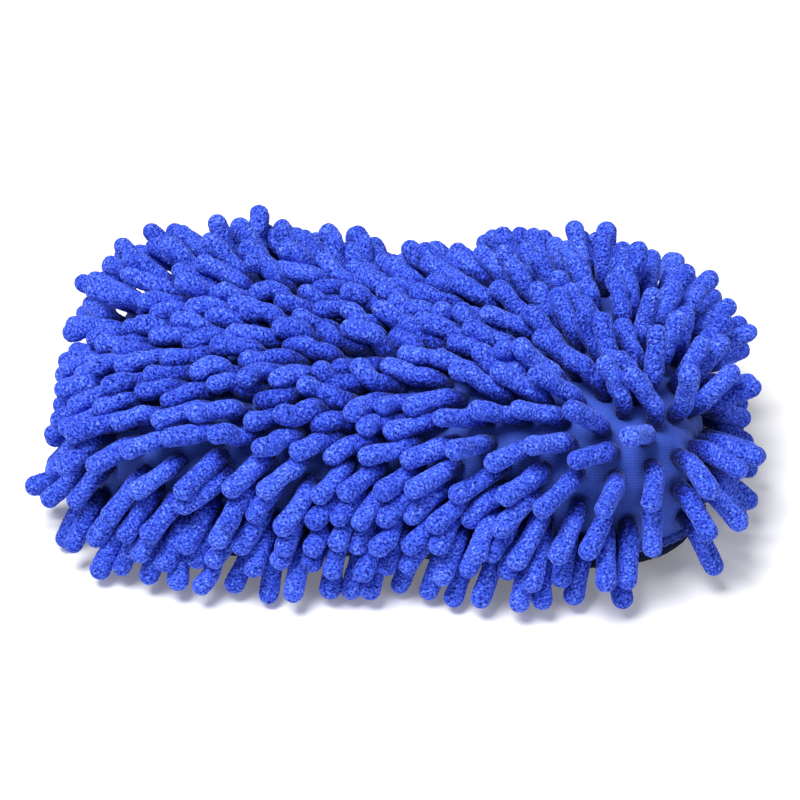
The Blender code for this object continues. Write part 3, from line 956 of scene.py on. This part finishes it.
def add_back(tree, random, finish):
    """The spacer mesh under the bag, with wavy ridges that run along the mitt."""
    across = np.linspace(-1, 1, BACK_ROWS)
    along = np.linspace(-1, 1, BACK_COLUMNS)
    a, b = np.meshgrid(along, across)
    ring = np.maximum(np.maximum(np.abs(a), np.abs(b)), 1e-6)
    profile = bag_profile(BAG_CROWN, BACK_STEPS)[:BACK_STEPS]
    lengths = np.linalg.norm(np.diff(profile * [HALF_WIDTH, 1], axis=0), axis=1)
    far = profile[0, 0] * HALF_WIDTH + np.concatenate([[0], np.cumsum(lengths)])
    girth = far[-1]
    far = np.concatenate([[0], far])
    share = np.interp(ring * girth, far, np.concatenate([[0], profile[:, 0]]))
    height = np.interp(ring * girth, far, np.concatenate([[-BACK_DEPTH], profile[:, 1]]))
    u, v = a / ring, b / ring
    reach = (np.abs(u) ** PLAN_POWER + np.abs(v) ** PLAN_POWER) ** (-1 / PLAN_POWER)
    plan = np.stack([u * reach * share * HALF_LENGTH, v * reach * share * HALF_WIDTH, height], 2)
    aims = warp(plan).reshape(-1, 3)
    aims[:, 2] = np.minimum(aims[:, 2], SEAM_Z - BACK_MARGIN)
    places, normals = cast_at(tree, aims, BACK_AIM)
    phase = b.ravel() * girth / RIDGE_PITCH
    sway = RIDGE_SWAY[0] * np.sin(2 * math.pi * a.ravel() * HALF_LENGTH / RIDGE_WAVE
                                  + math.pi * np.round(phase))
    ridge = 0.5 + 0.5 * np.cos(2 * math.pi * (phase + RIDGE_SWAY[1] * sway))
    ridge *= 1 - RIDGE_ROUGHNESS + RIDGE_ROUGHNESS * random.uniform(0, 1, len(ridge))
    places += normals * ((ridge - 1) * RIDGE_HEIGHT)[:, None]
    grid = np.arange(len(places)).reshape(a.shape)
    quads = np.stack([grid[:-1, :-1], grid[1:, :-1], grid[1:, 1:], grid[:-1, 1:]], 2)
    piece = mesh_from("spacer_mesh_back", places, quads.reshape(-1, 4))
    # The ridge heights also paint shade into the gaps between ridges, in the mesh finish.
    add_attribute(piece, "ridge", ridge)
    thicken(piece, MESH_THICKNESS)
    finish_piece(piece, finish, "spacer_mesh", "mesh_back")
    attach(piece, "pad")


# ---- seam and stitches


SEAM_POINTS = 700
SEAM_SIDES = 12
SEAM_RADIUS = 0.00135
SEAM_TALL = 1.25
STITCH_PITCH = 0.0031
STITCH_LENGTH = 0.0021
STITCH_RADIUS = 0.00032
STITCH_RISE = 0.25
# How far a thread's middle stands off what it lies on, in its radii.
THREAD_OFFSET = 0.6
# How deep the stitches gather the seam, how uneven it is, and over how many points.
SEAM_GATHER = 0.10
SEAM_UNEVEN = 0.10
UNEVEN_SPAN = 9
CAPSULE_SHARES = np.array([-1.0, -0.93, -0.75, -0.35, 0.0, 0.35, 0.75, 0.93, 1.0])
CAPSULE_SIDES = 8
CAPSULE_POWER = 5
CAPSULE_END = 0.004


def seam_line():
    """The seam's path round the bag, its direction, its outward direction and its stitches."""
    line = warp(np.column_stack([plan_outline(SEAM_POINTS), np.zeros(SEAM_POINTS)]))
    tangent = unit(np.roll(line, -1, axis=0) - np.roll(line, 1, axis=0))
    length = np.linalg.norm(np.roll(line, -1, axis=0) - line, axis=1).sum()
    return line, tangent, np.cross(tangent, np.array([0, 0, 1.0])), round(length / STITCH_PITCH)


def add_seam(random, finish):
    """The turned edges of cover and back, gathered by the stitches into a soft roll."""
    line, _, outward, stitches = seam_line()
    wave = np.cos(np.linspace(0, 2 * math.pi * stitches, SEAM_POINTS, endpoint=False))
    span = np.ones(UNEVEN_SPAN) / UNEVEN_SPAN
    loose = np.convolve(random.normal(0, 1, SEAM_POINTS), span, "same")
    radius = SEAM_RADIUS * (1 - SEAM_GATHER * wave + SEAM_UNEVEN * loose)
    ring = circles(outward, np.array([0, 0, SEAM_TALL]), SEAM_SIDES)
    points = line[:, None] + ring * radius[:, None, None]
    quads = tube_quads(SEAM_POINTS, SEAM_SIDES, closed=True)
    piece = mesh_from("perimeter_seam_roll", points.reshape(-1, 3), quads)
    # Painted shade: the roll is drawn darker where the stitches gather it in.
    add_attribute(piece, "pucker_shade", np.repeat(0.5 + 0.5 * wave, SEAM_SIDES))
    add_attribute(piece, "section", np.tile(turns(SEAM_SIDES) * SEAM_RADIUS, SEAM_POINTS))
    finish_piece(piece, finish, "knit_fabric", "perimeter_seam")
    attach(piece, "pad")


def capsules(centres, directions, half_length, radius):
    """Points, quads and end faces of short round-ended threads, one at each centre."""
    wide = np.sqrt(np.maximum(1 - np.abs(CAPSULE_SHARES) ** CAPSULE_POWER, CAPSULE_END))
    hint = np.where(np.abs(directions[:, 2:]) < 0.9, [[0, 0, 1.0]], [[1.0, 0, 0]])
    side = unit(np.cross(directions, hint))
    ring = circles(side, np.cross(side, directions), CAPSULE_SIDES)
    along = directions[:, None, None] * CAPSULE_SHARES[None, :, None, None] * half_length
    body = centres[:, None, None] + along + ring[:, None] * (radius * wide)[None, :, None, None]
    quads, ends = capped_tubes(len(centres), len(CAPSULE_SHARES), CAPSULE_SIDES)
    return body.reshape(-1, 3), quads, ends


def add_stitches(finish):
    """The thread's stitches along the outside of the seam roll."""
    line, tangent, outward, count = seam_line()
    at = ((np.arange(count) + 0.5) * SEAM_POINTS / count).astype(int)
    centres = line[at] + outward[at] * (SEAM_RADIUS + STITCH_RADIUS * THREAD_OFFSET)
    lean = unit(tangent[at] + np.array([0, 0, STITCH_RISE]))
    points, quads, ends = capsules(centres, lean, STITCH_LENGTH / 2, STITCH_RADIUS)
    piece = mesh_from("seam_stitches", points, quads, ends)
    finish_piece(piece, finish, "thread", "seam_thread")
    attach(piece, "pad")


# ---- hand strap


STRAP_COLUMNS = 76
STRAP_ROWS = 130
STRAP_GAP = 0.00025
RIB_PITCH = 0.0015
RIB_HEIGHT = 0.00013
PICK_SHARE = 0.4
FIRST_ANGLE = -0.02
STRAP_RAYS = 260
EDGE_WIDTH = 0.0009
EDGE_SHARE = 0.45
TACK_STITCHES = 30
TACK_RADIUS = 0.00034


def strap_path(tree):
    """The rear half of the strap's inner face, column by column: from its tack to the middle."""
    across = np.linspace(STRAP_LOW[0], STRAP_HIGH[0], STRAP_COLUMNS)
    angle = np.linspace(FIRST_ANGLE, -math.pi / 2, STRAP_RAYS)
    grid = []
    for x in across:
        directions = np.stack([0 * angle, np.cos(angle), np.sin(angle)], axis=1)
        path, _ = cast(tree, np.array([x, 0, SEAM_Z]), directions)
        path = path[path[:, 2] < LEG_HIGH[2]]
        path[:, 2] = np.maximum(path[:, 2], STRAP_HIGH[2])
        path[-1, 1] = 0
        grid.append(evenly(path, STRAP_ROWS))
    return np.array(grid).transpose(1, 0, 2)


def add_strap_half(tree, name, side, finish, leg):
    """Woven elastic from the tack down the bag's side to the middle of the strap."""
    path = strap_path(tree) * [1, side, 1]
    along = np.gradient(path, axis=0)
    normal = unit(np.cross(along, np.array([1.0, 0, 0])) * side)
    x = path[..., 0]
    rib = np.cos(2 * math.pi * x / RIB_PITCH) * RIB_HEIGHT
    pick = PICK_SHARE * RIB_HEIGHT * np.cos(math.pi * np.arange(STRAP_ROWS))[:, None]
    thickness = STRAP_HIGH[2] - STRAP_LOW[2] - 2 * RIB_HEIGHT
    edge = np.clip((STRAP_HIGH[0] - np.abs(x)) / EDGE_WIDTH, 0, 1)
    body = thickness * (EDGE_SHARE + (1 - EDGE_SHARE) * np.sqrt(1 - (1 - edge) ** 2))
    inner = path + normal * STRAP_GAP * edge[..., None]
    outer = path + normal * (body + rib + pick)[..., None]
    outer[..., 2] = np.maximum(outer[..., 2], STRAP_LOW[2])
    grid = np.arange(x.size).reshape(x.shape)
    top = np.stack([grid[:-1, :-1], grid[:-1, 1:], grid[1:, 1:], grid[1:, :-1]], 2).reshape(-1, 4)
    under = top[:, ::-1] + grid.size
    rim = np.concatenate([grid[0, :-1], grid[:-1, -1], grid[-1, :0:-1], grid[:0:-1, 0]])
    after = np.roll(rim, -1)
    band = np.stack([rim, rim + grid.size, after + grid.size, after], 1)
    points = np.concatenate([outer.reshape(-1, 3), inner.reshape(-1, 3)])
    quads = np.concatenate([top, under, band])
    if side < 0:
        quads = quads[:, ::-1]
    piece = mesh_from(name, points, np.ascontiguousarray(quads))
    rows = np.tile(np.repeat(np.arange(STRAP_ROWS), STRAP_COLUMNS), 2)
    add_attribute(piece, "pick", rows / STRAP_ROWS)
    finish_piece(piece, finish, "elastic", leg, "hand_strap")
    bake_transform(piece)


def add_tack(tree, name, side, finish, node):
    """The zigzag of dense stitches that holds the strap's end."""
    low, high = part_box(node)
    x = np.linspace(low[0], high[0], TACK_STITCHES)
    heights = np.where(np.arange(TACK_STITCHES) % 2, high[2], low[2])
    off = STRAP_HIGH[2] - STRAP_LOW[2] + TACK_RADIUS * THREAD_OFFSET
    corners = []
    for px, pz in zip(x, heights):
        direction = np.array([[0, 1.0, (pz - SEAM_Z) / LEG_HIGH[1]]])
        place, normal = cast(tree, np.array([px, 0, SEAM_Z]), direction)
        corners.append(place[0] + normal[0] * off)
    corners = np.array(corners) * [1, side, 1]
    step = np.diff(corners, axis=0)
    length = np.linalg.norm(step, axis=1)
    points, quads, ends = capsules((corners[1:] + corners[:-1]) / 2, step / length[:, None],
                                   length.mean() / 2, TACK_RADIUS)
    piece = mesh_from(name, points, quads, ends)
    finish_piece(piece, finish, "strap_thread", node)
    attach(piece, "pad")


# ---- materials


class Nodes:
    """A material's node tree, with short calls to add and join nodes."""

    def __init__(self, name):
        self.material = bpy.data.materials.new(name)
        self.material.use_nodes = True
        self.tree = self.material.node_tree
        self.shader = self.tree.nodes["Principled BSDF"]
        self.place = self.add("ShaderNodeTexCoord").outputs["Object"]

    def add(self, kind, inputs=None, **settings):
        node = self.tree.nodes.new(kind)
        for key, value in settings.items():
            setattr(node, key, value)
        for key, value in (inputs or {}).items():
            self.join(value, node.inputs[key])
        return node

    def join(self, value, socket):
        if isinstance(value, bpy.types.NodeSocket):
            self.tree.links.new(value, socket)
        else:
            socket.default_value = value

    def attribute(self, name):
        return self.add("ShaderNodeAttribute", attribute_name=name).outputs["Fac"]

    def along(self):
        """The place along the mitt."""
        return self.add("ShaderNodeSeparateXYZ", {"Vector": self.place}).outputs["X"]

    def noise(self, scale, detail):
        inputs = {"Vector": self.place, "Scale": scale, "Detail": detail}
        return self.add("ShaderNodeTexNoise", inputs).outputs["Fac"]

    def cells(self, scale):
        inputs = {"Vector": self.place, "Scale": scale}
        return self.add("ShaderNodeTexVoronoi", inputs).outputs["Distance"]

    def math(self, operation, *values):
        inputs = dict(enumerate(values))
        return self.add("ShaderNodeMath", inputs, operation=operation).outputs[0]

    def scaled(self, value, factor, offset=0.0):
        """value times factor plus offset."""
        return self.math("MULTIPLY_ADD", value, factor, offset)

    def wave(self, value, pitch):
        """A ridge at every pitch of a length, from 0 to 1."""
        return self.scaled(self.math("SINE", self.scaled(value, 2 * math.pi / pitch)), 0.5, 0.5)

    def sum(self, first, *others):
        for other in others:
            first = self.math("ADD", first, other)
        return first

    def ramp(self, factor, *stops):
        node = self.add("ShaderNodeValToRGB", {"Fac": factor})
        ramp = node.color_ramp
        while len(ramp.elements) < len(stops):
            ramp.elements.new(0.5)
        for element, (at, colour) in zip(ramp.elements, stops):
            element.position = at
            element.color = (*colour, 1)
        self.join(node.outputs["Color"], self.shader.inputs["Base Color"])

    def bump(self, height, strength, distance, **settings):
        inputs = {"Height": height, "Strength": strength, "Distance": distance}
        node = self.add("ShaderNodeBump", inputs, **settings)
        self.join(node.outputs["Normal"], self.shader.inputs["Normal"])

    def finish(self, **sockets):
        for key, value in sockets.items():
            self.join(value, self.shader.inputs[key.replace("_", " ")])
        return self.material


def chenille_finish():
    """Microfibre tufts, with painted shade in the gaps between them and low in the pile, near the bag,
    and a soft light edge.
    """
    nodes = Nodes("chenille")
    fine = nodes.noise(1250.0, 0.0)
    # Painted shade: the tuft term darkens the gaps between tufts, and the last term darkens the pile
    # low down, near the bag.
    level = nodes.sum(nodes.scaled(nodes.attribute("tuft"), 0.62, 0.06),
                      nodes.scaled(fine, 0.8, -0.40),
                      nodes.scaled(nodes.attribute("shade"), 0.12, -0.06),
                      nodes.scaled(nodes.attribute("out_of_painted_shade"), 0.80, -0.70))
    nodes.ramp(level, (0.00, (0.002, 0.006, 0.07)), (0.28, (0.014, 0.034, 0.42)),
               (0.62, (0.060, 0.130, 0.84)), (0.95, (0.230, 0.370, 1.00)))
    nodes.bump(fine, 0.9, 0.0004)
    return nodes.finish(Roughness=0.85, Specular_IOR_Level=0.15, Sheen_Weight=0.35,
                        Sheen_Roughness=0.45, Sheen_Tint=(0.30, 0.42, 1.0, 1))


def knit_finish():
    """Fine jersey knit: wales along the mitt, courses across it, and painted shade where it puckers."""
    nodes = Nodes("knit_fabric")
    wales = nodes.wave(nodes.attribute("section"), 0.00085)
    courses = nodes.wave(nodes.along(), 0.00070)
    loops = nodes.math("MULTIPLY", wales, courses)
    lint = nodes.noise(2100.0, 1.0)
    # The last term is painted shade where the knit puckers.
    level = nodes.sum(nodes.scaled(loops, 0.30, 0.18), nodes.scaled(nodes.noise(140.0, 3.0), 0.35),
                      nodes.scaled(lint, 0.35, -0.1), nodes.scaled(nodes.attribute("pucker_shade"), -0.28))
    nodes.ramp(level, (0.0, (0.010, 0.024, 0.20)), (0.45, (0.030, 0.075, 0.46)),
               (1.0, (0.075, 0.165, 0.74)))
    nodes.bump(nodes.sum(loops, nodes.scaled(lint, 0.6)), 0.7, 0.00018)
    return nodes.finish(Roughness=0.72, Specular_IOR_Level=0.30, Sheen_Weight=0.35,
                        Sheen_Roughness=0.40, Sheen_Tint=(0.35, 0.48, 1.0, 1))


def mesh_finish():
    """Dark spacer mesh: lighter crests, and near-black gaps between the ridges, painted shade that
    stands for the mesh's openings.
    """
    nodes = Nodes("spacer_mesh")
    grain = nodes.noise(1500.0, 2.0)
    # Painted shade: the ridge term darkens the gaps between the ridges.
    level = nodes.sum(nodes.scaled(nodes.attribute("ridge"), 0.62), nodes.scaled(grain, 0.5, -0.2),
                      nodes.scaled(nodes.cells(900.0), -0.25, 0.1))
    nodes.ramp(level, (0.10, (0.0004, 0.0010, 0.0040)), (0.45, (0.0025, 0.0090, 0.0400)),
               (0.90, (0.0120, 0.0450, 0.1700)))
    nodes.bump(grain, 0.6, 0.0003)
    return nodes.finish(Roughness=0.85, Specular_IOR_Level=0.10)


def elastic_finish():
    """Black woven elastic: ribs along it with fine picks across, and a little lint."""
    nodes = Nodes("elastic")
    ribs = nodes.wave(nodes.along(), RIB_PITCH)
    picks = nodes.wave(nodes.attribute("pick"), 0.012)
    weave = nodes.math("MULTIPLY", ribs, picks)
    level = nodes.sum(nodes.scaled(weave, 0.5, 0.1),
                      nodes.scaled(nodes.noise(1300.0, 2.0), 0.5, -0.1))
    nodes.ramp(level, (0.0, (0.003, 0.003, 0.005)), (0.55, (0.014, 0.015, 0.020)),
               (1.0, (0.060, 0.062, 0.075)))
    nodes.bump(weave, 0.8, 0.0002)
    return nodes.finish(Roughness=0.7, Specular_IOR_Level=0.35, Sheen_Weight=0.25)


def thread_finish(name, dark, light):
    """Twisted thread: a fine spiral of two tones."""
    nodes = Nodes(name)
    inputs = {"Vector": nodes.place, "Scale": 700.0, "Distortion": 2.0}
    ply = nodes.add("ShaderNodeTexWave", inputs, bands_direction="DIAGONAL").outputs["Fac"]
    nodes.ramp(ply, (0.1, dark), (0.9, light))
    nodes.bump(ply, 0.5, 0.0001)
    return nodes.finish(Roughness=0.5, Specular_IOR_Level=0.4, Sheen_Weight=0.1)


def foam_finish():
    """Open-cell foam: pale grey, with painted shade in its small pores."""
    nodes = Nodes("foam")
    cells = nodes.cells(850.0)
    # Painted shade: the cells term darkens the recessed pores.
    level = nodes.sum(nodes.scaled(cells, -0.9, 0.85), nodes.scaled(nodes.noise(60.0, 3.0), 0.3, -0.15))
    nodes.ramp(level, (0.10, (0.16, 0.16, 0.15)), (0.50, (0.50, 0.50, 0.48)),
               (1.00, (0.72, 0.72, 0.70)))
    nodes.bump(cells, 0.8, 0.0006, invert=True)
    return nodes.finish(Roughness=0.95)


# ---- assembly


def main():
    random = np.random.default_rng(SEED)
    add_camera()
    add_stage()
    bag_points, bag_faces, tree = make_bag()
    rows, places, normals = grow_roots(tree, random)
    lay = lay_of(places, normals, random)
    lengths = FINGER_LENGTH * random.uniform(0.90, 1.08, len(rows))
    thick = random.uniform(0.94, 1.05, len(rows))
    chains = settle(tree, places, normals, lay, lengths, random)
    add_pile(tree, rows, chains, thick, normals, random, chenille_finish())
    knit, elastic = knit_finish(), elastic_finish()
    add_cover(bag_points, bag_faces, places, knit)
    add_core(bag_points, bag_faces, foam_finish())
    add_back(tree, random, mesh_finish())
    add_seam(random, knit)
    add_stitches(thread_finish("thread", (0.006, 0.016, 0.16), (0.030, 0.075, 0.50)))
    tack_thread = thread_finish("strap_thread", (0.003, 0.003, 0.005), (0.030, 0.032, 0.042))
    for name, side in (("front", -1), ("rear", 1)):
        add_strap_half(tree, f"strap_half_{name}", side, elastic, f"strap_leg_{name}")
        add_tack(tree, f"strap_zigzag_{name}", side, tack_thread, f"strap_tack_{name}")


main()
